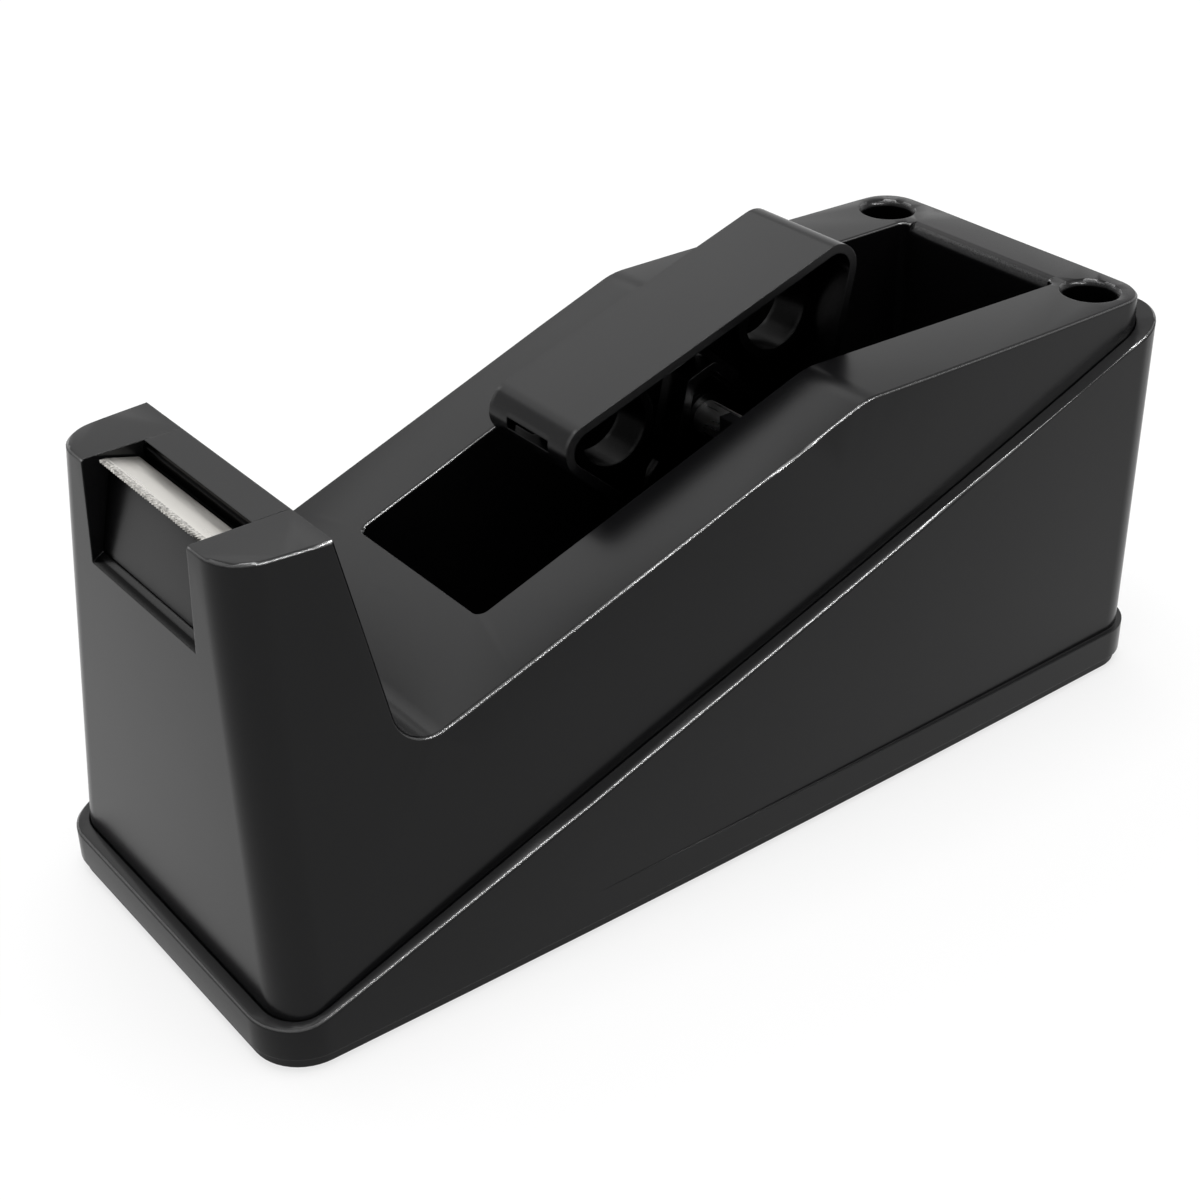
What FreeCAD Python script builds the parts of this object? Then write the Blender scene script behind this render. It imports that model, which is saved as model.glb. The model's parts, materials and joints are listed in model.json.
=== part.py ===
"""Desk tape dispenser with a lift-out three-lobed tape hub, a serrated cutter
and two pen wells.  Millimetres, +Z up, +X towards the rear, +Y to the left.
The origin is the middle of the footprint, at floor level."""
import math
import os

import FreeCAD
import Part

V = FreeCAD.Vector

# ---- overall size ---------------------------------------------------------
LENGTH = 200.0            # rim, front to rear
FRONT_X = -0.5 * LENGTH
REAR_X = 0.5 * LENGTH
RIM_HALF_END = 38.5       # rim half width at its ends
RIM_BOW = 1.1             # the long sides bow outwards
RIM_HALF_MID = RIM_HALF_END + RIM_BOW
RIM_CORNER = 9.7
RIM_TOP = 8.8             # height of the rim ledge
FOOT_TOP = 2.6            # joint between bottom plate and lower shell
FOOT_INSET = 0.8          # the bottom plate is set back under the rim
FLOOR_GAP = 0.5           # the rubber feet lift the bottom plate by this
REAR_TOP = 79.9           # deck behind the slope
TOWER_RISE = 5.9          # the tower stands above the deck
TOWER_TOP = REAR_TOP + TOWER_RISE
SEAM = 0.2                # parting gap between the shells
EDGE = 0.8                # width of the broken moulded edges

# ---- upper shell ----------------------------------------------------------
WALL = 2.0
TOP_WALL = 2.2
INNER_CHORDS = 8          # flats to a corner on the inner walls
LEDGE_FRONT = 2.75        # rim ledge in front of the body, at the sides and behind
LEDGE_SIDE = (1.6, 1.7, 2.2)
LEDGE_REAR = 2.8
LEAN_FRONT = 2.95         # taken off over the body's height
LEAN_SIDE = (9.6, 3.7, 2.1)
LEAN_REAR = 2.0
BODY_FRONT_R = 7.6
BODY_REAR_R = 7.2
LOW_FRONT_X = FRONT_X + LEDGE_FRONT
LOW_REAR_X = REAR_X - LEDGE_REAR
LOW_HALF = (RIM_HALF_END - LEDGE_SIDE[0], RIM_HALF_MID - LEDGE_SIDE[1],
            RIM_HALF_END - LEDGE_SIDE[2])
HIGH_FRONT_X = LOW_FRONT_X + LEAN_FRONT
HIGH_REAR_X = LOW_REAR_X - LEAN_REAR
HIGH_HALF = tuple(low - lean for low, lean in zip(LOW_HALF, LEAN_SIDE))
TOWER_DEEP = 22.9         # rim's front to the back edge of the tower's top
TOWER_BACK_X = FRONT_X + TOWER_DEEP
TOWER_BACK_LEAN = 0.177   # run per unit of drop
DECK_LONG = 77.5          # rim's rear to the bend
BEND_X = REAR_X - DECK_LONG
SLOPE = 0.352
REAR_FALL = -0.012
NOTCH_R = 6.3
BEND_R = 14.0
PROFILE_REACH = 0.65 * LENGTH
BEYOND_TOP = TOWER_TOP + 4.0

# ---- lower shell ----------------------------------------------------------
SKIRT_INSET = (-0.5, 0.3, 1.0)    # flush with the rim in front, set back behind
SKIRT_REAR = 1.2
SKIRT_HALF = (RIM_HALF_END - SKIRT_INSET[0], RIM_HALF_MID - SKIRT_INSET[1],
              RIM_HALF_END - SKIRT_INSET[2])
SKIRT_FRONT_X = FRONT_X - RIM_CORNER
SKIRT_REAR_X = REAR_X - SKIRT_REAR
SKIRT_CORNER = 8.8
WEDGE_START = 5.8         # rim's front to where the wedge starts to rise
WEDGE_DROP = 4.1          # its rear end stays below the deck
WEDGE = (REAR_TOP - WEDGE_DROP - RIM_TOP) / (LENGTH - WEDGE_START)
WEDGE_R = 16.0

# ---- tape well ------------------------------------------------------------
WELL_FRONT = 54.2         # from the rim's front and rear ends
WELL_REAR = 15.3
WELL_FRONT_X = FRONT_X + WELL_FRONT
WELL_REAR_X = REAR_X - WELL_REAR
WELL_SHOULDER = (9.35, 14.4)      # body's top edge to the well, in front and behind
WELL_HALF_FRONT = HIGH_HALF[0] - WELL_SHOULDER[0]
WELL_HALF_REAR = HIGH_HALF[2] - WELL_SHOULDER[1]
WELL_CORNER = 1.6
WELL_FLOOR = 7.2
WELL_WALL = 1.8
WELL_LIP = 2.6            # rounded rear edge
WELL_EDGE = 0.7           # width of the broken edge round the well

# ---- pen wells ------------------------------------------------------------
PEN_INSET = (13.1, 7.5)   # from the rim's rear and the body's top edge
PEN_X = REAR_X - PEN_INSET[0]
PEN_Y = HIGH_HALF[2] - PEN_INSET[1]
PEN_R = 4.7
PEN_LIP_R = 5.8
PEN_LIP_DEEP = 1.3
PEN_FLOOR = 15.0
PEN_WALL = 1.5

# ---- hub and axle ---------------------------------------------------------
HUB_FORWARD = 4.95        # ahead of the well's middle
HUB_SUNK = 10.334         # below the slope's line
HUB_X = 0.5 * (WELL_FRONT_X + WELL_REAR_X) - HUB_FORWARD
HUB_Z = REAR_TOP + SLOPE * (HUB_X - BEND_X) - HUB_SUNK
HUB_TILT = 17.6
HUB_IN_R = 21.45          # centre to the outside of a flat
HUB_CORNER = 5.0
HUB_SIDE_GAP = 6.85       # room between the hub and the well's front corners
HUB_HALF = WELL_HALF_FRONT - HUB_SIDE_GAP
HUB_BAND = 1.7
LOBE_EDGE = 10.2          # centre to the free edge of a lobe web
LOBE_WEB = 0.9            # half thickness
COLLAR_D = 22.0
COLLAR_R = 8.6
COLLAR_BORE = 6.9
COLLAR_HALF = 3.8
SOCKET_IN = 8.4           # centre to the socket's long sides, facing the lobes
SOCKET_FLAT = 11.3        # centre to its short sides
SOCKET_HALF = 5.4
SOCKET_WALL = 1.4
SPOKE_HALF = 2.2
SLOT_LONG = 11.6
SLOT_WIDE = 2.0
SLOT_TURN = (12.4, -12.4, 0.0)    # degrees round each tip, away from the top flat
AXLE_R = 3.0
RUNNING = 0.05            # radial clearance of the hub on its axle
BUSH_R = 4.4
BUSH_FIT = 0.03
BUSH_LIP = 0.8            # the bush's cup stands in the socket, just below its rim
BUSH_FLOOR = 1.2
BUSH_SHORT = 0.4
BLOCK_HALF = 4.0          # axle block, half width
BLOCK_THICK = 3.2
CRADLE_GAP = 0.3
CRADLE_RIB = 2.4
CRADLE_DEEP = 4.6         # how far the guide ribs stand into the well
CRADLE_SUNK = 1.5         # their tops stay below the slope

# ---- cutter ---------------------------------------------------------------
TOWER_POST = 10.4         # body's top edge to the opening
HOLDER_HALF = HIGH_HALF[0] - TOWER_POST
OPENING_DEEP = 16.6
SILL_FALL = 1.4           # the opening's sill falls towards the front
HOLDER_TOE = 3.7          # the holder's foot reaches below the opening
BACK_REACH = 7.8          # how far down the tower's back the holder reaches
OPENING_FLOOR = TOWER_TOP - OPENING_DEEP
HOLDER_FOOT = OPENING_FLOOR - HOLDER_TOE
HOLDER_BACK = TOWER_TOP - BACK_REACH
CHEEK_DROP = 5.0          # the walls beside the opening reach below it
CHEEK_DEEP = 8.0
HOLDER_SKIN = 1.9
SIDE_GAP = 0.1
SEAT_GAP = 0.02
PANEL_SET = 2.1           # the front panel's depth behind the tower's face
PANEL_TOP = TOWER_TOP - 3.6
NOSE_BACK = 0.4           # the seat ends this far behind the blade's bend
STEP_DOWN = 0.9           # small step along the top of the trough's rear wall
STEP_IN = 0.3
BLADE_BACK = 9.3          # behind the body's front face, at the top
BLADE_NOSE = 4.0
BLADE_TIP = 2.6
BLADE_BACK_DROP = 2.3     # below the tower's top
BLADE_NOSE_DROP = 0.8
BLADE_TIP_DROP = 0.55
BLADE_REAR = (HIGH_FRONT_X + BLADE_BACK, TOWER_TOP - BLADE_BACK_DROP)
BLADE_BEND = (HIGH_FRONT_X + BLADE_NOSE, TOWER_TOP - BLADE_NOSE_DROP)
BLADE_FRONT = (HIGH_FRONT_X + BLADE_TIP, TOWER_TOP - BLADE_TIP_DROP)
BLADE_THICK = 0.5
BLADE_END_GAP = 0.6
BLADE_HALF = HOLDER_HALF - BLADE_END_GAP
TOOTH_COUNT = 44
TOOTH_DEEP = 0.7
TROUGH_BEHIND = 1.1       # the trough lies behind the blade's rear edge
TROUGH_X = BLADE_REAR[0] + TROUGH_BEHIND

# ---- ballast, feet and screws ---------------------------------------------
TRAY_TOP = 4.2
TRAY_INSET = 0.4
BALLAST_FRONT = 66.0      # side blocks, from the rim's front, rear and sides
BALLAST_REAR = 26.0
BALLAST_SIDE = 5.3
BALLAST_GAP = 0.6         # between a block and the well's wall
BALLAST_X = (FRONT_X + BALLAST_FRONT, REAR_X - BALLAST_REAR)
BALLAST_Y = (WELL_HALF_REAR + WELL_WALL + BALLAST_GAP, RIM_HALF_END - BALLAST_SIDE)
BALLAST_H = 17.0
NOSE_BLOCK_FRONT = 28.0
NOSE_BLOCK_LONG = 20.0
FRONT_BALLAST_X = (FRONT_X + NOSE_BLOCK_FRONT, FRONT_X + NOSE_BLOCK_FRONT + NOSE_BLOCK_LONG)
FRONT_BALLAST_HALF = 14.0
FRONT_BALLAST_H = 15.0
FOOT_R = 7.0
FOOT_SINK = 1.1
FOOT_FROM_END = 34.0
FOOT_FROM_SIDE = 14.5
FOOT_X = REAR_X - FOOT_FROM_END
FOOT_Y = RIM_HALF_END - FOOT_FROM_SIDE
POCKET_FIT = 0.1
FRONT_BOSS_INSET = (18.0, 18.5)   # from the rim's front and side
MID_BOSS_INSET = (52.0, 10.5)
FRONT_BOSS = (FRONT_X + FRONT_BOSS_INSET[0], RIM_HALF_END - FRONT_BOSS_INSET[1])
MID_BOSS = (FRONT_X + MID_BOSS_INSET[0], RIM_HALF_END - MID_BOSS_INSET[1])
REAR_BOSS = (PEN_X, PEN_Y)
BOSS_R = 4.0
SCREW_R = 1.45
SCREW_FIT = 0.05
SCREW_TOP = 13.0
PLATE_HOLE_R = 1.8
HEAD_R = 2.7
HEAD_H = 1.5
HEAD_FIT = 0.3
HEAD_SEAT = 2.4


# ---- drawing helpers ------------------------------------------------------
def unit(x, y):
    size = math.hypot(x, y)
    return x / size, y / size


def circle_through(p, q, r):
    """Centre and radius of the plane circle through three points."""
    ax, ay = q[0] - p[0], q[1] - p[1]
    bx, by = r[0] - p[0], r[1] - p[1]
    d = 2.0 * (ax * by - ay * bx)
    a2 = ax * ax + ay * ay
    b2 = bx * bx + by * by
    ux = (by * a2 - ay * b2) / d
    uy = (ax * b2 - bx * a2) / d
    return p[0] + ux, p[1] + uy, math.hypot(ux, uy)


def arc_edges(start, middle, end, chords):
    """One arc, or equal chords along it for a corner that stays out of sight."""
    arc = Part.Arc(start, middle, end).toShape()
    if chords == 0:
        return [arc]
    points = arc.discretize(chords + 1)
    return [Part.makeLine(p, q) for p, q in zip(points, points[1:])]


def plan_wire(front_x, rear_x, half, front_r, rear_r, z, grow=0.0, chords=0):
    """Closed outline with bowed sides and tangent corner arcs."""
    fx, rx = front_x - grow, rear_x + grow
    fr, rr = front_r + grow, rear_r + grow
    ends = [(fx, half[0] + grow), (0.5 * (fx + rx), half[1] + grow), (rx, half[2] + grow)]
    cx, cy, big = circle_through(*ends)

    def corner(x_line, r, side):
        mx = x_line + side * r
        my = cy + math.sqrt((big - r) ** 2 - (mx - cx) ** 2)
        ox, oy = unit(mx - cx, my - cy)
        bx, by = unit(ox - side, oy)
        return my, (mx + r * bx, my + r * by), (cx + big * ox, cy + big * oy)

    f_y, f_mid, f_side = corner(fx, fr, 1.0)
    r_y, r_mid, r_side = corner(rx, rr, -1.0)
    mid = (0.5 * (f_side[0] + r_side[0]))
    s_mid = (mid, cy + math.sqrt(big * big - (mid - cx) ** 2))
    left = [(fx, f_y), f_mid, f_side, s_mid, r_side, r_mid, (rx, r_y)]
    pts = [V(x, y, z) for x, y in left]
    mir = [V(x, -y, z) for x, y in left]
    edges = [Part.makeLine(mir[0], pts[0]), Part.makeLine(pts[6], mir[6])]
    for i, count in ((0, chords), (2, 0), (4, chords)):
        edges += arc_edges(pts[i], pts[i + 1], pts[i + 2], count)
        edges += arc_edges(mir[i + 2], mir[i + 1], mir[i], count)
    return Part.Wire(Part.__sortEdges__(edges))


def rounded_polygon(points, radii):
    """Wire through points in one plane, with a tangent arc at each radius."""
    n = len(points)
    path = []
    for i in range(n):
        p, a, b = points[i], points[i - 1], points[(i + 1) % n]
        if radii[i] <= 0.0:
            path.append((p, None, p))
            continue
        u = (a - p).normalize()
        w = (b - p).normalize()
        half = 0.5 * math.acos(max(-1.0, min(1.0, u.dot(w))))
        back = radii[i] / math.tan(half)
        middle = (u + w).normalize()
        centre = p + middle * (radii[i] / math.sin(half))
        path.append((p + u * back, centre - middle * radii[i], p + w * back))
    edges = []
    for i in range(n):
        start, mid, end = path[i]
        if mid is not None:
            edges.append(Part.Arc(start, mid, end).toShape())
        following = path[(i + 1) % n][0]
        if end.distanceToPoint(following) > 1e-6:
            edges.append(Part.makeLine(end, following))
    return Part.Wire(edges)


def side_prism(points, radii, half):
    """Solid from an XZ outline, centred on Y = 0."""
    wire = rounded_polygon([V(x, -half, z) for x, z in points], radii)
    return Part.Face(wire).extrude(V(0, 2.0 * half, 0))


def plan_prism(points, radii, z0, z1):
    wire = rounded_polygon([V(x, y, z0) for x, y in points], radii)
    return Part.Face(wire).extrude(V(0, 0, z1 - z0))


def box(x0, x1, y0, y1, z0, z1):
    return Part.makeBox(x1 - x0, y1 - y0, z1 - z0, V(x0, y0, z0))


def rod(x, y, z0, z1, r):
    return Part.makeCylinder(r, z1 - z0, V(x, y, z0))


def cross_rod(x, z, y0, y1, r):
    return Part.makeCylinder(r, y1 - y0, V(x, y0, z), V(0, 1, 0))


def soften(shape, width, wanted):
    """Break every edge that the test function accepts."""
    edges = [e for e in shape.Edges if wanted(e)]
    return shape.makeChamfer(width / math.sqrt(2.0), edges)


def span(side, a, b):
    """The two distances on one side of the middle plane, in rising order."""
    return sorted((side * a, side * b))


def between(low, high, t):
    return low + t * (high - low)


# ---- outlines that several parts share ------------------------------------
def body_loft(z0, z1, grow=0.0, chords=0):
    """The drafted, tapered body between two heights; grow < 0 shrinks it."""
    def wire(z):
        t = (z - RIM_TOP) / (TOWER_TOP - RIM_TOP)
        half = [between(a, b, t) for a, b in zip(LOW_HALF, HIGH_HALF)]
        rear = between(LOW_REAR_X, HIGH_REAR_X, t)
        return plan_wire(face_x(z), rear, half, BODY_FRONT_R, BODY_REAR_R, z, grow, chords)
    return Part.makeLoft([wire(z0), wire(z1)], True, True)


def face_x(z):
    """The body's front face at one height."""
    return between(LOW_FRONT_X, HIGH_FRONT_X, (z - RIM_TOP) / (TOWER_TOP - RIM_TOP))


def slope_z(x):
    return REAR_TOP + SLOPE * (x - BEND_X)


def tower_back_x(z):
    return TOWER_BACK_X + TOWER_BACK_LEAN * (TOWER_TOP - z)


def deck_z(x):
    """Rear deck, which falls slightly behind the bend."""
    return REAR_TOP + REAR_FALL * (x - BEND_X)


def top_profile(drop=0.0):
    """Tower, slope and rear deck seen from the side, lowered by drop."""
    foot = FOOT_TOP - drop
    top_z = TOWER_TOP - drop
    back_x = tower_back_x(top_z) - drop * math.hypot(1.0, TOWER_BACK_LEAN)
    start_z = slope_z(0.0) - drop * math.hypot(1.0, SLOPE)
    run = back_x + TOWER_BACK_LEAN * top_z
    low_z = (start_z + SLOPE * run) / (1.0 + SLOPE * TOWER_BACK_LEAN)
    low_x = run - TOWER_BACK_LEAN * low_z
    bend_z = REAR_TOP - drop
    bend_x = (bend_z - start_z) / SLOPE
    points = [
        (-PROFILE_REACH, foot),
        (-PROFILE_REACH, top_z),
        (back_x, top_z),
        (low_x, low_z),
        (bend_x, bend_z),
        (PROFILE_REACH, bend_z + REAR_FALL * (PROFILE_REACH - bend_x)),
        (PROFILE_REACH, foot),
    ]
    return side_prism(points, [0, 0, 0, NOTCH_R + drop, BEND_R - drop, 0, 0], PROFILE_REACH)


def wedge_z(x):
    return RIM_TOP + WEDGE * (x - FRONT_X - WEDGE_START)


def wedge_profile():
    """Everything below the lower shell's ledge line."""
    start = FRONT_X + WEDGE_START
    points = [
        (-PROFILE_REACH, FOOT_TOP),
        (-PROFILE_REACH, RIM_TOP),
        (start, RIM_TOP),
        (PROFILE_REACH, wedge_z(PROFILE_REACH)),
        (PROFILE_REACH, FOOT_TOP),
    ]
    return side_prism(points, [0, 0, WEDGE_R, 0, 0], PROFILE_REACH)


def well_points(grow):
    return [
        (WELL_FRONT_X - grow, -WELL_HALF_FRONT - grow),
        (WELL_REAR_X + grow, -WELL_HALF_REAR - grow),
        (WELL_REAR_X + grow, WELL_HALF_REAR + grow),
        (WELL_FRONT_X - grow, WELL_HALF_FRONT + grow),
    ]


def well_half(x):
    t = (x - WELL_FRONT_X) / (WELL_REAR_X - WELL_FRONT_X)
    return WELL_HALF_FRONT + t * (WELL_HALF_REAR - WELL_HALF_FRONT)


def screw_places():
    spots = [FRONT_BOSS, MID_BOSS, REAR_BOSS]
    return [(x, s * y) for x, y in spots for s in (1.0, -1.0)]


# ---- upper shell ----------------------------------------------------------
def body_envelope():
    """Outside of the body with its softened outer edges."""
    solid = body_loft(FOOT_TOP, BEYOND_TOP).common(top_profile())

    def on_top_rim(edge):
        b = edge.BoundBox
        crosses = b.YLength > HIGH_HALF[0] and b.XLength < EDGE
        outer = b.XMax < HIGH_FRONT_X + EDGE or b.XMin > HIGH_REAR_X - EDGE
        steep = b.ZLength > 3.0 * b.XLength
        return b.ZMin > RIM_TOP and (outer if crosses else not steep)
    return soften(solid, EDGE, on_top_rim)


def cradle(side):
    """Two guide ribs on one well wall, with a floor that carries the block."""
    wall = well_half(HUB_X) + 0.5 * WELL_WALL
    inner = wall - 0.5 * WELL_WALL - CRADLE_DEEP
    half = BLOCK_HALF + CRADLE_GAP
    top = slope_z(HUB_X - half - CRADLE_RIB) - CRADLE_SUNK
    y0, y1 = span(side, inner, wall)
    guide = box(HUB_X - half - CRADLE_RIB, HUB_X + half + CRADLE_RIB, y0, y1, WELL_FLOOR, top)
    slot = box(HUB_X - half, HUB_X + half, y0, y1, HUB_Z, TOWER_TOP)
    seat = cross_rod(HUB_X, HUB_Z, y0, y1, half)
    return guide.cut(slot).cut(seat)


def upper_shell(envelope):
    hollow = body_loft(FOOT_TOP - 1.0, BEYOND_TOP, -WALL, INNER_CHORDS)
    hollow = hollow.common(top_profile(TOP_WALL))
    shell = envelope.cut(hollow)

    tub = plan_prism(well_points(WELL_WALL), [WELL_CORNER + WELL_WALL] * 4,
                     WELL_FLOOR - WELL_WALL, TOWER_TOP)
    parts = [tub]
    for side in (1.0, -1.0):
        parts.append(rod(PEN_X, side * PEN_Y, TRAY_TOP, TOWER_TOP, PEN_R + PEN_WALL))
    for x, y in screw_places()[:4]:
        parts.append(rod(x, y, TRAY_TOP, SCREW_TOP + 2.0, BOSS_R))
        out = math.copysign(1.0, y)
        y0, y1 = sorted((y, out * (RIM_HALF_END - WALL)))
        parts.append(box(x - 0.5 * WALL, x + 0.5 * WALL, y0, y1, TRAY_TOP, SCREW_TOP))
    for side in (1.0, -1.0):
        y0, y1 = span(side, HOLDER_HALF, HOLDER_HALF + WALL)
        parts.append(box(-LENGTH, TOWER_BACK_X + CHEEK_DEEP, y0, y1,
                         OPENING_FLOOR - CHEEK_DROP, TOWER_TOP))
    inside = body_loft(FOOT_TOP, BEYOND_TOP, -0.5 * WALL).common(top_profile(0.5 * WALL))
    for piece in parts:
        shell = shell.fuse(piece.common(inside))

    well = plan_prism(well_points(0.0), [WELL_CORNER] * 4, WELL_FLOOR, TOWER_TOP)
    shell = shell.cut(well)

    def on_well_rim(edge):
        c = edge.CenterOfMass
        top = min(slope_z(c.x), deck_z(c.x))
        across = abs(c.y) < WELL_HALF_FRONT + WELL_EDGE
        return across and WELL_FRONT_X - WELL_EDGE < c.x < WELL_REAR_X and abs(c.z - top) < WELL_EDGE
    shell = soften(shell, WELL_EDGE, on_well_rim)
    lip_z = deck_z(WELL_REAR_X)
    lip = box(WELL_REAR_X - 1.0, WELL_REAR_X + WELL_LIP,
              -WELL_HALF_REAR + WELL_CORNER, WELL_HALF_REAR - WELL_CORNER,
              lip_z - WELL_LIP, TOWER_TOP)
    roll = cross_rod(WELL_REAR_X + WELL_LIP, lip_z - WELL_LIP, -LENGTH, LENGTH, WELL_LIP)
    shell = shell.cut(lip.cut(roll))

    for side in (1.0, -1.0):
        y = side * PEN_Y
        deck = deck_z(PEN_X)
        shell = shell.cut(rod(PEN_X, y, PEN_FLOOR, TOWER_TOP, PEN_R))
        slant = math.hypot(PEN_LIP_R - PEN_R, PEN_LIP_DEEP)
        cone = Part.makeCone(PEN_R, PEN_LIP_R, PEN_LIP_DEEP, V(PEN_X, y, deck - PEN_LIP_DEEP))
        rim = rod(PEN_X, y, deck, deck + slant, PEN_LIP_R)
        shell = shell.cut(cone.fuse(rim))
    for x, y in screw_places():
        shell = shell.cut(rod(x, y, TRAY_TOP - 2.0, SCREW_TOP, SCREW_R + SCREW_FIT))
    for side in (1.0, -1.0):
        shell = shell.fuse(cradle(side))

    sill = [
        (-LENGTH, OPENING_FLOOR - SILL_FALL),
        (face_x(OPENING_FLOOR), OPENING_FLOOR - SILL_FALL),
        (face_x(OPENING_FLOOR) + PANEL_SET, OPENING_FLOOR),
        (TOWER_BACK_X + CHEEK_DEEP, OPENING_FLOOR),
        (TOWER_BACK_X + CHEEK_DEEP, BEYOND_TOP),
        (-LENGTH, BEYOND_TOP),
    ]
    mouth = side_prism(sill, [0] * len(sill), HOLDER_HALF)
    kept = box(tower_back_x(HOLDER_BACK) - TOP_WALL, TOWER_BACK_X + 2.0 * CHEEK_DEEP,
               -HOLDER_HALF, HOLDER_HALF, 0.0, HOLDER_BACK)
    shell = shell.cut(mouth.cut(kept))
    return shell.removeSplitter()


# ---- lower shell and bottom plate -----------------------------------------
def rim_plan(z, inset=0.0):
    half = (RIM_HALF_END, RIM_HALF_MID, RIM_HALF_END)
    return plan_wire(FRONT_X, REAR_X, half, RIM_CORNER, RIM_CORNER, z, -inset)


def lower_shell():
    """Rim band and wedge skirt in one moulding, open inside for the body."""
    face = Part.Face(rim_plan(FOOT_TOP))
    band = face.extrude(V(0, 0, RIM_TOP - FOOT_TOP))
    top = wedge_z(SKIRT_REAR_X) + 1.0
    low = plan_wire(SKIRT_FRONT_X, SKIRT_REAR_X, SKIRT_HALF, SKIRT_CORNER, SKIRT_CORNER, FOOT_TOP)
    skirt = Part.Face(low).extrude(V(0, 0, top - FOOT_TOP))
    skirt = skirt.common(face.extrude(V(0, 0, top))).common(wedge_profile())
    shell = band.fuse(skirt).removeSplitter()

    def on_ledge(edge):
        b = edge.BoundBox
        upright = b.ZLength > 3.0 * b.XLength
        raised = b.ZMax > RIM_TOP + EDGE or b.XMax < FRONT_X + WEDGE_START + WEDGE_R
        return raised and not upright and b.ZMin > RIM_TOP - SEAM
    shell = soften(shell, EDGE, on_ledge)
    core = body_loft(FOOT_TOP - 1.0, TOWER_TOP, SEAM, INNER_CHORDS)
    return shell.cut(core).removeSplitter()


def bottom_plate():
    plate = Part.Face(rim_plan(FLOOR_GAP, FOOT_INSET)).extrude(V(0, 0, FOOT_TOP - FLOOR_GAP))
    tray = body_loft(FOOT_TOP, TRAY_TOP, -WALL - TRAY_INSET)
    plate = plate.fuse(tray)
    for x, y in screw_places() + ballast_screws():
        plate = plate.cut(rod(x, y, 0.0, TRAY_TOP + 1.0, PLATE_HOLE_R))
        plate = plate.cut(rod(x, y, 0.0, HEAD_SEAT, HEAD_R + HEAD_FIT))
    for x, y in foot_places():
        plate = plate.cut(rod(x, y, 0.0, FLOOR_GAP + FOOT_SINK, FOOT_R + POCKET_FIT))
    return plate.removeSplitter()


# ---- cutter ---------------------------------------------------------------
def seat_z(x):
    """Underside of the blade's flat part."""
    t = (x - BLADE_REAR[0]) / (BLADE_BEND[0] - BLADE_REAR[0])
    return between(BLADE_REAR[1], BLADE_BEND[1], t) - BLADE_THICK - SEAT_GAP


def blade_holder(envelope):
    """Insert with a leaning front panel, a sloping blade seat and a trough behind it."""
    skin = HOLDER_SKIN
    panel_x = face_x(OPENING_FLOOR) + PANEL_SET
    nose_x = BLADE_BEND[0] + NOSE_BACK
    step_x = TROUGH_X + STEP_IN
    ceiling = TOWER_TOP - STEP_DOWN - skin
    back = tower_back_x(HOLDER_BACK)
    points = [
        (panel_x, HOLDER_FOOT),
        (panel_x, OPENING_FLOOR + STEP_DOWN),
        (nose_x - STEP_IN, PANEL_TOP),
        (nose_x, seat_z(nose_x)),
        (TROUGH_X, seat_z(TROUGH_X)),
        (TROUGH_X, TOWER_TOP - STEP_DOWN),
        (step_x, TOWER_TOP - STEP_DOWN),
        (step_x, BEYOND_TOP),
        (TOWER_BACK_X + skin, BEYOND_TOP),
        (back + skin, HOLDER_BACK),
        (back - skin, HOLDER_BACK),
        (TOWER_BACK_X - skin, ceiling),
        (step_x + skin, ceiling),
        (step_x + skin, seat_z(TROUGH_X) - skin),
        (nose_x + skin, seat_z(nose_x) - 1.5 * skin),
        (panel_x + skin, OPENING_FLOOR + STEP_DOWN),
        (panel_x + skin, HOLDER_FOOT),
    ]
    body = side_prism(points, [0] * len(points), HOLDER_HALF - SIDE_GAP)
    return body.common(envelope).removeSplitter()


def cutter_blade():
    """Bent strip whose front edge carries a row of teeth."""
    top = [BLADE_REAR, BLADE_BEND, BLADE_FRONT]
    under = [(x, z - BLADE_THICK) for x, z in reversed(top)]
    blade = side_prism(top + under, [0] * 6, BLADE_HALF)
    pitch = 2.0 * BLADE_HALF / TOOTH_COUNT
    root_x = BLADE_FRONT[0] + TOOTH_DEEP
    open_x = BLADE_FRONT[0] - TOOTH_DEEP
    z0, z1 = BLADE_REAR[1] - TOOTH_DEEP - BLADE_THICK, BLADE_FRONT[1] + TOOTH_DEEP
    gaps = []
    for i in range(TOOTH_COUNT + 1):
        y = -BLADE_HALF + pitch * i
        corners = [(root_x, y), (open_x, y - pitch), (open_x, y + pitch)]
        gaps.append(plan_prism(corners, [0, 0, 0], z0, z1))
    return blade.cut(Part.makeCompound(gaps))


# ---- tape hub -------------------------------------------------------------
def hub_frame(shape):
    """Turn a shape drawn at zero tilt into the hub's resting place."""
    shape.rotate(V(0, 0, 0), V(0, 1, 0), -HUB_TILT)
    shape.translate(V(HUB_X, 0, HUB_Z))
    return shape


def lobe_angles():
    return [150.0, 30.0, -90.0]


def hub_triangle(in_r, corner, half):
    reach = 2.0 * in_r
    points = []
    for angle in lobe_angles():
        a = math.radians(angle)
        points.append((reach * math.cos(a), reach * math.sin(a)))
    return side_prism(points, [corner] * 3, half)


def toward(angle, distance):
    a = math.radians(angle)
    return distance * math.cos(a), distance * math.sin(a)


def lobe_limit(angle):
    """Half space outside a lobe's free edge, as a large block."""
    return turned(box(LOBE_EDGE, LENGTH, -LENGTH, LENGTH, -LENGTH, LENGTH), angle)


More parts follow.
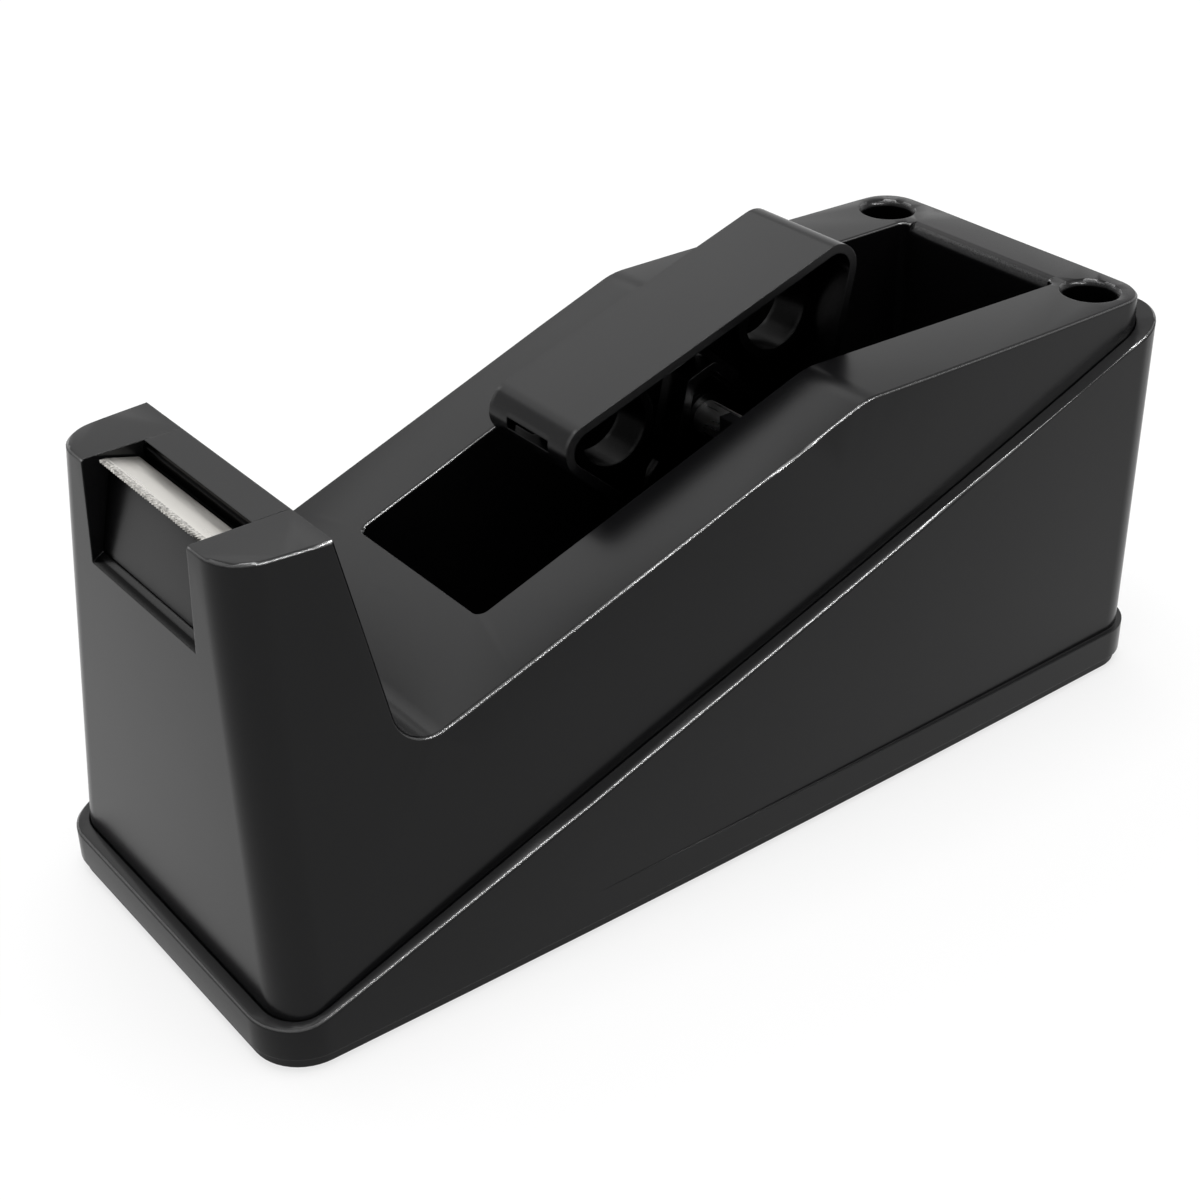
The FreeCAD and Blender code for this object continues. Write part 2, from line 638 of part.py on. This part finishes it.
def socket_prism(shrink, y0, y1):
    """Triangle with cut corners, its long sides parallel to the lobes' free edges."""
    long_in, short_in = SOCKET_IN - shrink, SOCKET_FLAT - shrink
    half = (2.0 * long_in - short_in) * math.tan(math.radians(30.0))
    corners = []
    for angle in (90.0, -30.0, -150.0):
        a = math.radians(angle)
        for s in (-half, half):
            x = short_in * math.cos(a) + s * math.sin(a)
            z = short_in * math.sin(a) - s * math.cos(a)
            corners.append(V(x, y0, z))
    wire = rounded_polygon(corners, [SOCKET_WALL] * 6)
    return Part.Face(wire).extrude(V(0, y1 - y0, 0))


def turned(shape, angle):
    shape.rotate(V(0, 0, 0), V(0, 1, 0), -angle)
    return shape


def tape_hub():
    outer = hub_triangle(HUB_IN_R, HUB_CORNER, HUB_HALF)
    inner = hub_triangle(HUB_IN_R - HUB_BAND, HUB_CORNER - HUB_BAND, HUB_HALF + 1.0)
    hub = outer.cut(inner)
    web = hub_triangle(HUB_IN_R - 0.5 * HUB_BAND, HUB_CORNER - 0.5 * HUB_BAND, LOBE_WEB)
    for angle in lobe_angles():
        x, z = toward(angle, COLLAR_D)
        hub = hub.fuse(web.common(lobe_limit(angle)))
        hub = hub.fuse(cross_rod(x, z, -COLLAR_HALF, COLLAR_HALF, COLLAR_R))
        spoke = box(SOCKET_FLAT - SOCKET_WALL, HUB_IN_R - 0.5 * HUB_BAND,
                    -LOBE_WEB, LOBE_WEB, -SPOKE_HALF, SPOKE_HALF)
        hub = hub.fuse(turned(spoke, angle + 180.0))
    hub = hub.fuse(socket_prism(0.0, -SOCKET_HALF, SOCKET_HALF))
    for side in (1.0, -1.0):
        hub = hub.cut(socket_prism(SOCKET_WALL, *span(side, LOBE_WEB, SOCKET_HALF)))
    hub = hub.cut(cross_rod(0, 0, -LOBE_WEB, LOBE_WEB, BUSH_R + BUSH_FIT))
    for angle, turn in zip(lobe_angles(), SLOT_TURN):
        x, z = toward(angle, COLLAR_D)
        hub = hub.cut(cross_rod(x, z, -COLLAR_HALF, COLLAR_HALF, COLLAR_BORE))
        x, z = toward(angle, 2.0 * (HUB_IN_R - HUB_CORNER))
        slot = box(HUB_CORNER - 2.0 * HUB_BAND, HUB_CORNER + HUB_BAND,
                   -0.5 * SLOT_LONG, 0.5 * SLOT_LONG, -0.5 * SLOT_WIDE, 0.5 * SLOT_WIDE)
        slot = turned(slot, angle + turn)
        slot.translate(V(x, 0, z))
        hub = hub.cut(slot)
    return hub_frame(hub.removeSplitter())


def hub_bush(side):
    """Half of the hub's sleeve, with a cup that fills one end of the socket."""
    gap = SOCKET_WALL + BUSH_FIT
    top = SOCKET_HALF - BUSH_SHORT
    floor = LOBE_WEB + BUSH_FLOOR
    bush = socket_prism(gap, *span(side, LOBE_WEB, top))
    bush = bush.cut(socket_prism(gap + BUSH_LIP, *span(side, floor, top)))
    bush = bush.fuse(cross_rod(0, 0, *span(side, BUSH_FIT, floor + BUSH_LIP), BUSH_R))
    bush = bush.cut(cross_rod(0, 0, *span(side, 0.0, SOCKET_HALF), AXLE_R + RUNNING))
    return hub_frame(bush.removeSplitter())


def axle_end():
    """Outer face of an axle block, just clear of the well wall."""
    return well_half(HUB_X - BLOCK_HALF) - CRADLE_GAP


def hub_axle():
    reach = axle_end() - 0.4
    return cross_rod(HUB_X, HUB_Z, -reach, reach, AXLE_R)


def axle_block(side):
    y0, y1 = span(side, axle_end() - BLOCK_THICK, axle_end())
    top = HUB_Z + BLOCK_HALF
    block = box(HUB_X - BLOCK_HALF, HUB_X + BLOCK_HALF, y0, y1, HUB_Z, top)
    block = block.fuse(cross_rod(HUB_X, HUB_Z, y0, y1, BLOCK_HALF))
    return block.cut(cross_rod(HUB_X, HUB_Z, y0, y1, AXLE_R)).removeSplitter()


# ---- weights, feet and screws ---------------------------------------------
def side_ballast(side):
    y0, y1 = span(side, *BALLAST_Y)
    block = box(BALLAST_X[0], BALLAST_X[1], y0, y1, TRAY_TOP, TRAY_TOP + BALLAST_H)
    for x, y in ballast_screws():
        if y * side > 0.0:
            block = block.cut(rod(x, y, TRAY_TOP, SCREW_TOP, SCREW_R + SCREW_FIT))
    return block


def front_ballast():
    return box(FRONT_BALLAST_X[0], FRONT_BALLAST_X[1], -FRONT_BALLAST_HALF, FRONT_BALLAST_HALF,
               TRAY_TOP, TRAY_TOP + FRONT_BALLAST_H)


def ballast_screws():
    """One screw through the middle of each side block."""
    y = 0.5 * (BALLAST_Y[0] + BALLAST_Y[1])
    return [(0.5 * (BALLAST_X[0] + BALLAST_X[1]), s * y) for s in (1.0, -1.0)]


def foot_places():
    return [(a * FOOT_X, s * FOOT_Y) for a in (1.0, -1.0) for s in (1.0, -1.0)]


def rubber_foot(x, y):
    return rod(x, y, 0.0, FLOOR_GAP + FOOT_SINK, FOOT_R)


def screw(x, y):
    shank = rod(x, y, HEAD_SEAT, SCREW_TOP - 1.0, SCREW_R)
    return shank.fuse(rod(x, y, HEAD_SEAT - HEAD_H, HEAD_SEAT, HEAD_R)).removeSplitter()


# ---- all parts ------------------------------------------------------------
def build():
    envelope = body_envelope()
    nodes = {
        "upper_shell": upper_shell(envelope),
        "lower_shell": lower_shell(),
        "bottom_plate": bottom_plate(),
        "blade_holder": blade_holder(envelope),
        "cutter_blade": cutter_blade(),
        "tape_hub": tape_hub(),
        "hub_bush_left": hub_bush(1.0),
        "hub_bush_right": hub_bush(-1.0),
        "hub_axle": hub_axle(),
        "axle_block_left": axle_block(1.0),
        "axle_block_right": axle_block(-1.0),
        "ballast_left": side_ballast(1.0),
        "ballast_right": side_ballast(-1.0),
        "ballast_front": front_ballast(),
        "case_screws": Part.makeCompound([screw(x, y) for x, y in screw_places()]),
        "ballast_screws": Part.makeCompound([screw(x, y) for x, y in ballast_screws()]),
    }
    for i, (x, y) in enumerate(foot_places()):
        nodes["rubber_foot_%d" % (i + 1)] = rubber_foot(x, y)
    return nodes


os.makedirs("parts", exist_ok=True)
for name, shape in build().items():
    shape.exportStep("parts/" + name + ".step")
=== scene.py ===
"""Looks for the desk tape dispenser: moulded black plastic, steel blade and axle, studio light."""
import json
import math

import bpy
from mathutils import Matrix, Vector

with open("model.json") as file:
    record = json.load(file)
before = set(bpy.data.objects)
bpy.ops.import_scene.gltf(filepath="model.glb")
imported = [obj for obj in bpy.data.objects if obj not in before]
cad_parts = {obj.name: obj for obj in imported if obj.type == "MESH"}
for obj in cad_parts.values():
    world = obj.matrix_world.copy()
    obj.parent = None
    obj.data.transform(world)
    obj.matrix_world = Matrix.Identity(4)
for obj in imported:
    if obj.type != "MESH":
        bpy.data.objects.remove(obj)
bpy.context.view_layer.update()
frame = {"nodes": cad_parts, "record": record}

nodes = frame["nodes"]
record = frame["record"]
MM = 0.001

# camera at the photograph's viewing angle; places in metres
SENSOR_WIDTH = 36.0         # mm
LENS = 63.44                # mm
CLIPPING = (0.01, 50.0)
CAMERA_PLACE = (-0.20533, -0.26039, 0.23537)
CAMERA_RIGHT = (0.79202, -0.61037, -0.01200)
CAMERA_UP = (0.3266, 0.4069, 0.8531)

# tones, as linear colour
WHITE = (1.0, 1.0, 1.0, 1.0)
FLOOR_WHITE = (0.96, 0.96, 0.96, 1.0)
BLACK = (0.0034, 0.0034, 0.0037)
PLATE_BLACK = (0.006, 0.006, 0.0062)
# painted light: paler tone on upward faces, lightening the lower shell's ledge
TOP_LIGHT_TONE = (0.018, 0.018, 0.0185)
BLADE_TONE = (0.73, 0.71, 0.67)
AXLE_TONE = (0.5, 0.5, 0.5)
ZINC_TONE = (0.55, 0.55, 0.56)
IRON_TONES = ((0.07, 0.065, 0.06), (0.16, 0.15, 0.145))
RUBBER_TONES = (0.02, 0.035)
SILL_SHADE = (0.3, 0.3, 0.3, 1.0)  # painted shade: share of tone and gloss left on the mouth's sill

# shapes that the looks follow
SILL_CENTRE = (-95.5 * MM, 0.0, 81.35 * MM)         # box round the mouth's sill
SILL_SIZE = (8.4 * MM, 33.6 * MM, 27.1 * MM)
BLADE_BEND_X = -90.35 * MM
BLADE_BLEND = 0.2 * MM      # width of the change from satin to ground steel
CORNER_ANGLE = 50.0         # degrees; edges steeper than this stay sharp
BEND_ANGLES = (8.0, 30.0)   # degrees; shallow bends between two flat faces stay sharp
BOTH_FLAT = 0.99            # share of an edge's two faces that are flat
WELD_GAP = 0.002 * MM       # points nearer than this are joined
EASED_RADIUS = 0.35 * MM    # rounded look on edges that the solid keeps sharp
SHEEN_REACH = 1.0 * MM     # width of the painted sheen line along outer edges
SHEEN_SPAN = (0.86, 0.955)  # how open the inside of the solid is: at the edge, on a flat face
ROUNDED = ("upper_shell", "lower_shell", "bottom_plate", "blade_holder", "tape_hub")

# height of a face's normal at which a look starts and is complete
SLANTED = (0.25, 0.55)
LEVEL = (0.8, 0.88)
# normal heights of the painted light on upward faces
TOP_LIGHT_SPAN = (0.75, 0.9)

# studio
FLOOR_HALF = 6.0            # m
FLOOR_BACKDROP = 0.72       # share of the floor's tone that is plain backdrop white
WORLD_FILL = 0.6


# ---- camera -------------------------------------------------------------------
def make_camera():
    data = bpy.data.cameras.new("camera")
    data.sensor_width = SENSOR_WIDTH
    data.lens = LENS
    data.clip_start, data.clip_end = CLIPPING
    cam = bpy.data.objects.new("camera", data)
    bpy.context.scene.collection.objects.link(cam)
    right = Vector(CAMERA_RIGHT)
    back = right.cross(Vector(CAMERA_UP)).normalized()
    up = back.cross(right).normalized()
    right.normalize()
    turn = Matrix((right, up, back)).transposed().to_4x4()
    cam.matrix_world = Matrix.Translation(CAMERA_PLACE) @ turn
    bpy.context.scene.camera = cam


# ---- node helpers ---------------------------------------------------------------
def new_material(name):
    mat = bpy.data.materials.new(name)
    mat.use_nodes = True
    tree = mat.node_tree
    shader = next(n for n in tree.nodes if n.type == "BSDF_PRINCIPLED")
    return mat, tree, shader


def add(tree, kind, **values):
    node = tree.nodes.new(kind)
    for key, value in values.items():
        setattr(node, key, value)
    return node


def feed(tree, source, target):
    """Link a socket to the target, or write a plain value on it."""
    if isinstance(source, (float, tuple)):
        target.default_value = source
    else:
        tree.links.new(source, target)


def grey(level):
    return (level, level, level, 1.0)


def scaled(tone, share):
    return tuple(share * c for c in tone)


def object_place(tree):
    return add(tree, "ShaderNodeTexCoord").outputs["Object"]


def axes(tree, vector):
    split = add(tree, "ShaderNodeSeparateXYZ")
    tree.links.new(vector, split.inputs[0])
    return split.outputs


def noise(tree, scale, detail, rough=0.5, stretch=None):
    vector = object_place(tree)
    if stretch:
        mapping = add(tree, "ShaderNodeMapping")
        mapping.inputs["Scale"].default_value = stretch
        tree.links.new(vector, mapping.inputs["Vector"])
        vector = mapping.outputs["Vector"]
    tex = add(tree, "ShaderNodeTexNoise")
    tex.inputs["Scale"].default_value = scale
    tex.inputs["Detail"].default_value = detail
    tex.inputs["Roughness"].default_value = rough
    tree.links.new(vector, tex.inputs["Vector"])
    return tex.outputs["Fac"]


def ramp(tree, source, start, end):
    """Colour ramp between two stops, each a position and a grey level or a tone."""
    node = add(tree, "ShaderNodeValToRGB")
    for element, (position, value) in zip(node.color_ramp.elements, (start, end)):
        element.position = position
        element.color = grey(value) if isinstance(value, float) else (*value, 1.0)
    tree.links.new(source, node.inputs["Fac"])
    return node.outputs["Color"]


def share(tree, source, start, end):
    """Zero up to start, one from end on."""
    node = add(tree, "ShaderNodeMapRange")
    node.inputs["From Min"].default_value = start
    node.inputs["From Max"].default_value = end
    tree.links.new(source, node.inputs["Value"])
    return node.outputs["Result"]


def maths(tree, operation, first, second):
    node = add(tree, "ShaderNodeMath", operation=operation)
    feed(tree, first, node.inputs[0])
    feed(tree, second, node.inputs[1])
    return node.outputs[0]


def blend(tree, factor, first, second, kind="MIX"):
    node = add(tree, "ShaderNodeMix", data_type="RGBA", blend_type=kind)
    feed(tree, factor, node.inputs["Factor"])
    feed(tree, first, node.inputs["A"])
    feed(tree, second, node.inputs["B"])
    return node.outputs["Result"]


def bump(tree, shader, sources, start=None):
    """Chain of bump nodes; sources are (socket, strength, distance)."""
    last = start
    for socket, strength, distance in sources:
        node = add(tree, "ShaderNodeBump")
        node.inputs["Strength"].default_value = strength
        node.inputs["Distance"].default_value = distance
        tree.links.new(socket, node.inputs["Height"])
        if last:
            tree.links.new(last, node.inputs["Normal"])
        last = node.outputs["Normal"]
    tree.links.new(last, shader.inputs["Normal"])


# ---- masks ------------------------------------------------------------------------
def eased_edges(tree):
    """Rounded look on edges that the solid keeps sharp."""
    node = add(tree, "ShaderNodeBevel", samples=4)
    node.inputs["Radius"].default_value = EASED_RADIUS
    return node.outputs["Normal"]


def painted_hollow_shade(tree, reach, own_shape, span):
    """Painted shade: one on open surfaces, falling to a low value inside wells and recesses."""
    node = add(tree, "ShaderNodeAmbientOcclusion", samples=6, only_local=own_shape)
    node.inputs["Distance"].default_value = reach
    return ramp(tree, node.outputs["AO"], (span[0], 0.1), (span[1], 1.0))


def facing_up(tree, span):
    """One on faces that look upwards."""
    normal = add(tree, "ShaderNodeNewGeometry").outputs["Normal"]
    return share(tree, axes(tree, normal)["Z"], *span)


def edge_sheen(tree, flat, edge):
    """Painted sheen: flat's value on open faces, edge's value along outer edges that look upwards, where
    it brightens the lamps' highlight lines.
    """
    node = add(tree, "ShaderNodeAmbientOcclusion", samples=5, only_local=True, inside=True)
    node.inputs["Distance"].default_value = SHEEN_REACH
    line = ramp(tree, node.outputs["AO"], (SHEEN_SPAN[0], edge), (SHEEN_SPAN[1], flat))
    line = blend(tree, facing_up(tree, SLANTED), grey(flat), line)
    return blend(tree, facing_up(tree, LEVEL), line, grey(flat))


def within(tree, centre, size):
    """One inside a box of the part, zero outside it."""
    last = object_place(tree)
    half = scaled(size, 0.5)
    for operation, value in (("SUBTRACT", centre), ("DIVIDE", half), ("ABSOLUTE", None)):
        node = add(tree, "ShaderNodeVectorMath", operation=operation)
        tree.links.new(last, node.inputs[0])
        if value:
            node.inputs[1].default_value = value
        last = node.outputs[0]
    x, y, z = axes(tree, last)
    farthest = maths(tree, "MAXIMUM", maths(tree, "MAXIMUM", x, y), z)
    return maths(tree, "LESS_THAN", farthest, 1.0)


# ---- materials ----------------------------------------------------------------------
def moulded_plastic(name, tone, rough, gloss=0.175, edge_gloss=None, hollow_shade=None, sill=None, painted_top_light=None):
    """Dark moulding: uneven gloss, fine spark texture, faint handling marks.

    Painted shade darkens tone and gloss inside wells and recesses, set by (reach, own_shape, span); a
    box round the mouth's sill deepens that painted shade there."""
    mat, tree, shader = new_material(name)
    shader.inputs["Specular IOR Level"].default_value = gloss
    cloud = noise(tree, scale=22.0, detail=4.0)
    color = ramp(tree, cloud, (0.3, scaled(tone, 0.85)), (0.7, scaled(tone, 1.15)))
    # painted sheen: gloss raised along outer edges that look upwards
    level = edge_sheen(tree, gloss, edge_gloss) if edge_gloss else grey(gloss)
    # painted shade: tone and gloss darkened inside wells and recesses
    if hollow_shade:
        shade_share = painted_hollow_shade(tree, *hollow_shade)
        # painted shade: deeper on the mouth's sill
        if sill:
            shade_share = blend(tree, within(tree, *sill), shade_share, SILL_SHADE, "MULTIPLY")
        level = blend(tree, 1.0, level, shade_share, "MULTIPLY")
        color = blend(tree, 1.0, color, shade_share, "MULTIPLY")
    if edge_gloss or hollow_shade:
        tree.links.new(level, shader.inputs["Specular IOR Level"])
    # painted light: upward faces paler
    if painted_top_light:
        color = blend(tree, facing_up(tree, TOP_LIGHT_SPAN), color, (*painted_top_light, 1.0))
    tree.links.new(color, shader.inputs["Base Color"])
    smear = noise(tree, scale=9.0, detail=5.0, rough=0.6)
    satin = ramp(tree, smear, (0.3, rough - 0.025), (0.7, rough + 0.035))
    scuff = noise(tree, scale=160.0, detail=6.0, rough=0.7, stretch=(1.0, 0.25, 1.0))
    marks = ramp(tree, scuff, (0.66, 0.0), (0.8, 0.06))
    tree.links.new(maths(tree, "ADD", satin, marks), shader.inputs["Roughness"])
    wave = noise(tree, scale=60.0, detail=2.0)
    grain = noise(tree, scale=2600.0, detail=2.0)
    bump(tree, shader, [(wave, 0.03, 0.4 * MM), (grain, 0.1, 0.04 * MM)], eased_edges(tree))
    return mat


def brushed_metal(name, tone, rough, stretch):
    mat, tree, shader = new_material(name)
    shader.inputs["Metallic"].default_value = 1.0
    streak = noise(tree, scale=900.0, detail=3.0, rough=0.6, stretch=stretch)
    color = ramp(tree, streak, (0.25, scaled(tone, 0.9)), (0.75, tone))
    tree.links.new(color, shader.inputs["Base Color"])
    satin = ramp(tree, streak, (0.3, rough - 0.06), (0.7, rough + 0.06))
    tree.links.new(satin, shader.inputs["Roughness"])
    bump(tree, shader, [(streak, 0.08, 0.03 * MM)])
    return mat


def blade_steel(name, tone):
    """Satin strip; in front of the bend the ground teeth are darker."""
    mat, tree, shader = new_material(name)
    shader.inputs["Metallic"].default_value = 1.0
    along = axes(tree, object_place(tree))["X"]
    front = share(tree, along, BLADE_BEND_X, BLADE_BEND_X - BLADE_BLEND)
    streak = noise(tree, scale=500.0, detail=3.0, rough=0.6, stretch=(1.0, 0.06, 1.0))
    strip = ramp(tree, streak, (0.25, scaled(tone, 0.93)), (0.75, tone))
    grit = noise(tree, scale=2400.0, detail=4.0, rough=0.7)
    ground = ramp(tree, grit, (0.36, scaled(tone, 0.22)), (0.62, scaled(tone, 0.95)))
    tree.links.new(blend(tree, front, strip, ground), shader.inputs["Base Color"])
    tree.links.new(ramp(tree, streak, (0.3, 0.26), (0.7, 0.38)), shader.inputs["Roughness"])
    bump(tree, shader, [(streak, 0.06, 0.03 * MM), (grit, 0.12, 0.04 * MM)])
    return mat


def rubber(name):
    mat, tree, shader = new_material(name)
    shader.inputs["Specular IOR Level"].default_value = 0.25
    cloud = noise(tree, scale=120.0, detail=4.0)
    color = ramp(tree, cloud, (0.3, RUBBER_TONES[0]), (0.7, RUBBER_TONES[1]))
    tree.links.new(color, shader.inputs["Base Color"])
    tree.links.new(ramp(tree, cloud, (0.3, 0.7), (0.7, 0.85)), shader.inputs["Roughness"])
    bump(tree, shader, [(noise(tree, scale=1500.0, detail=2.0), 0.3, 0.1 * MM)])
    return mat


def cast_metal(name):
    mat, tree, shader = new_material(name)
    shader.inputs["Metallic"].default_value = 0.8
    cloud = noise(tree, scale=70.0, detail=6.0, rough=0.7)
    color = ramp(tree, cloud, (0.3, IRON_TONES[0]), (0.7, IRON_TONES[1]))
    tree.links.new(color, shader.inputs["Base Color"])
    tree.links.new(ramp(tree, cloud, (0.3, 0.55), (0.7, 0.8)), shader.inputs["Roughness"])
    bump(tree, shader, [(cloud, 0.4, 0.5 * MM)])
    return mat


def make_looks():
    """Materials by node name, or by the record's material slot."""
    return {
        "upper_shell": moulded_plastic("upper_black", BLACK, rough=0.23, edge_gloss=2.2,
                                       hollow_shade=(35.0 * MM, True, (0.3, 0.72)),
                                       sill=(SILL_CENTRE, SILL_SIZE)),
        "lower_shell": moulded_plastic("lower_black", BLACK, rough=0.23, gloss=0.16,
                                       edge_gloss=2.2, painted_top_light=TOP_LIGHT_TONE),
        "plate": moulded_plastic("plate_black", PLATE_BLACK, rough=0.45),
        "holder": moulded_plastic("holder_black", BLACK, rough=0.24,
                                  hollow_shade=(14.0 * MM, False, (0.66, 0.93))),
        "hub": moulded_plastic("hub_black", BLACK, rough=0.24, edge_gloss=0.5,
                               hollow_shade=(24.0 * MM, False, (0.4, 0.85))),
        "blade": blade_steel("blade_steel", BLADE_TONE),
        "axle": brushed_metal("axle_steel", AXLE_TONE, rough=0.3, stretch=(1.0, 0.1, 1.0)),
        "screw": brushed_metal("screw_zinc", ZINC_TONE, rough=0.35, stretch=(1.0, 1.0, 1.0)),
        "ballast": cast_metal("ballast_iron"),
        "foot": rubber("foot_rubber"),
    }


# ---- corners ------------------------------------------------------------------------
def compare(group, source, operation, limit):
    node = add(group, "FunctionNodeCompare", data_type="FLOAT", operation=operation)
    group.links.new(source, node.inputs["A"])
    node.inputs["B"].default_value = limit
    return node.outputs["Result"]


def combine(group, first, second, operation):
    node = add(group, "FunctionNodeBooleanMath", operation=operation)
    group.links.new(first, node.inputs[0])
    group.links.new(second, node.inputs[1])
    return node.outputs[0]


def sharp_edges(group):
    """Steep corners, and shallow bends between two faces that the mesh calls flat."""
    angle = add(group, "GeometryNodeInputMeshEdgeAngle").outputs["Unsigned Angle"]
    flat = add(group, "GeometryNodeInputNamedAttribute", data_type="BOOLEAN")
    flat.inputs["Name"].default_value = "sharp_face"
    flats = add(group, "GeometryNodeFieldOnDomain", domain="FACE", data_type="FLOAT")
    group.links.new(flat.outputs["Attribute"], flats.inputs["Value"])
    low, high = (math.radians(a) for a in BEND_ANGLES)
    bend = combine(group, compare(group, angle, "GREATER_THAN", low),
                   compare(group, angle, "LESS_THAN", high), "AND")
    between_flats = compare(group, flats.outputs["Value"], "GREATER_THAN", BOTH_FLAT)
    bend = combine(group, bend, between_flats, "AND")
    corner = compare(group, angle, "GREATER_THAN", math.radians(CORNER_ANGLE))
    return combine(group, bend, corner, "OR")


def smoothing():
    """Node group: smooth faces, with the sharp edges kept."""
    group = bpy.data.node_groups.new("smoothing", "GeometryNodeTree")
    for way in ("INPUT", "OUTPUT"):
        group.interface.new_socket(name="Geometry", in_out=way, socket_type="NodeSocketGeometry")
    last = add(group, "NodeGroupInput").outputs[0]
    steps = (("FACE", None, True), ("EDGE", None, True), ("EDGE", sharp_edges(group), False))
    for domain, choice, smooth in steps:
        node = add(group, "GeometryNodeSetShadeSmooth", domain=domain)
        group.links.new(last, node.inputs["Geometry"])
        if choice:
            group.links.new(choice, node.inputs["Selection"])
        node.inputs["Shade Smooth"].default_value = smooth
        last = node.outputs[0]
    group.links.new(last, add(group, "NodeGroupOutput").inputs[0])
    return group


def round_corners(obj, group):
    """Let the narrow corner flats of the moulding shade as rounded corners."""
    weld = obj.modifiers.new("weld", "WELD")
    weld.merge_threshold = WELD_GAP
    obj.modifiers.new("smoothing", "NODES").node_group = group
    weighted = obj.modifiers.new("normals", "WEIGHTED_NORMAL")
    weighted.keep_sharp = True
    weighted.weight = 100


def dress():
    looks = make_looks()
    for part in record["subparts"]:
        obj = nodes[part["node"]]
        look = looks.get(part["node"]) or looks[part["material_slot"]]
        if not obj.material_slots:
            obj.data.materials.append(look)
        for slot in obj.material_slots:
            slot.material = look
    group = smoothing()
    for name in ROUNDED:
        round_corners(nodes[name], group)


# ---- floor, world and lights ----------------------------------------------------------
def seen_directly(tree, strength=1.0):
    """One for camera, glossy and transmission rays, times a strength."""
    path = add(tree, "ShaderNodeLightPath").outputs
    direct = maths(tree, "MAXIMUM", path["Is Camera Ray"], path["Is Glossy Ray"])
    direct = maths(tree, "MAXIMUM", direct, path["Is Transmission Ray"])
    return maths(tree, "MULTIPLY", direct, strength)


def switch(tree, factor, plain, direct, output):
    """Mix two shaders into an output node."""
    mix = add(tree, "ShaderNodeMixShader")
    tree.links.new(factor, mix.inputs["Fac"])
    tree.links.new(plain.outputs[0], mix.inputs[1])
    tree.links.new(direct.outputs[0], mix.inputs[2])
    tree.links.new(mix.outputs[0], output.inputs["Surface"])


def make_floor():
    mesh = bpy.data.meshes.new("floor")
    corners = [(x * FLOOR_HALF, y * FLOOR_HALF, 0) for x, y in ((-1, -1), (1, -1), (1, 1), (-1, 1))]
    mesh.from_pydata(corners, [], [(0, 1, 2, 3)])
    floor = bpy.data.objects.new("floor", mesh)
    bpy.context.scene.collection.objects.link(floor)
    mat, tree, shader = new_material("floor_white")
    shader.inputs["Base Color"].default_value = FLOOR_WHITE
    shader.inputs["Roughness"].default_value = 1.0
    shader.inputs["Specular IOR Level"].default_value = 0.0
    backdrop = add(tree, "ShaderNodeEmission")
    output = next(n for n in tree.nodes if n.type == "OUTPUT_MATERIAL")
    switch(tree, seen_directly(tree, FLOOR_BACKDROP), shader, backdrop, output)
    mesh.materials.append(mat)


def background(tree, strength):
    node = add(tree, "ShaderNodeBackground")
    node.inputs["Color"].default_value = WHITE
    node.inputs["Strength"].default_value = strength
    return node


def make_world():
    world = bpy.data.worlds.new("studio")
    bpy.context.scene.world = world
    world.use_nodes = True
    tree = world.node_tree
    tree.nodes.clear()
    output = add(tree, "ShaderNodeOutputWorld")
    switch(tree, seen_directly(tree), background(tree, WORLD_FILL), background(tree, 1.0), output)


def area_light(name, place, target, size, power):
    data = bpy.data.lights.new(name, "AREA")
    data.shape = "RECTANGLE"
    data.size, data.size_y = size
    data.energy = power
    light = bpy.data.objects.new(name, data)
    bpy.context.scene.collection.objects.link(light)
    light.location = place
    aim = Vector(target) - Vector(place)
    light.rotation_euler = aim.to_track_quat("-Z", "Y").to_euler()
    return light


def make_lights():
    """Soft light from above and behind; the strip only draws lines on glossy edges."""
    area_light("overhead", place=(0.0, 0.0, 1.2), target=(0.0, 0.0, 0.0), size=(0.8, 0.8), power=9.0)
    strip = area_light("strip", place=(0.22, -0.79, 0.95), target=(0.0, -0.03, 0.06),
                       size=(1.0, 0.05), power=19.0)
    strip.visible_diffuse = False
    area_light("slope", place=(0.05, 0.84, 0.9), target=(0.0, 0.0, 0.07), size=(1.0, 0.4), power=1.9)


bpy.context.scene.view_settings.view_transform = "Standard"
dress()
make_camera()
make_floor()
make_world()
make_lights()


def plain(box):
    return [[float(v) for v in corner] for corner in box]
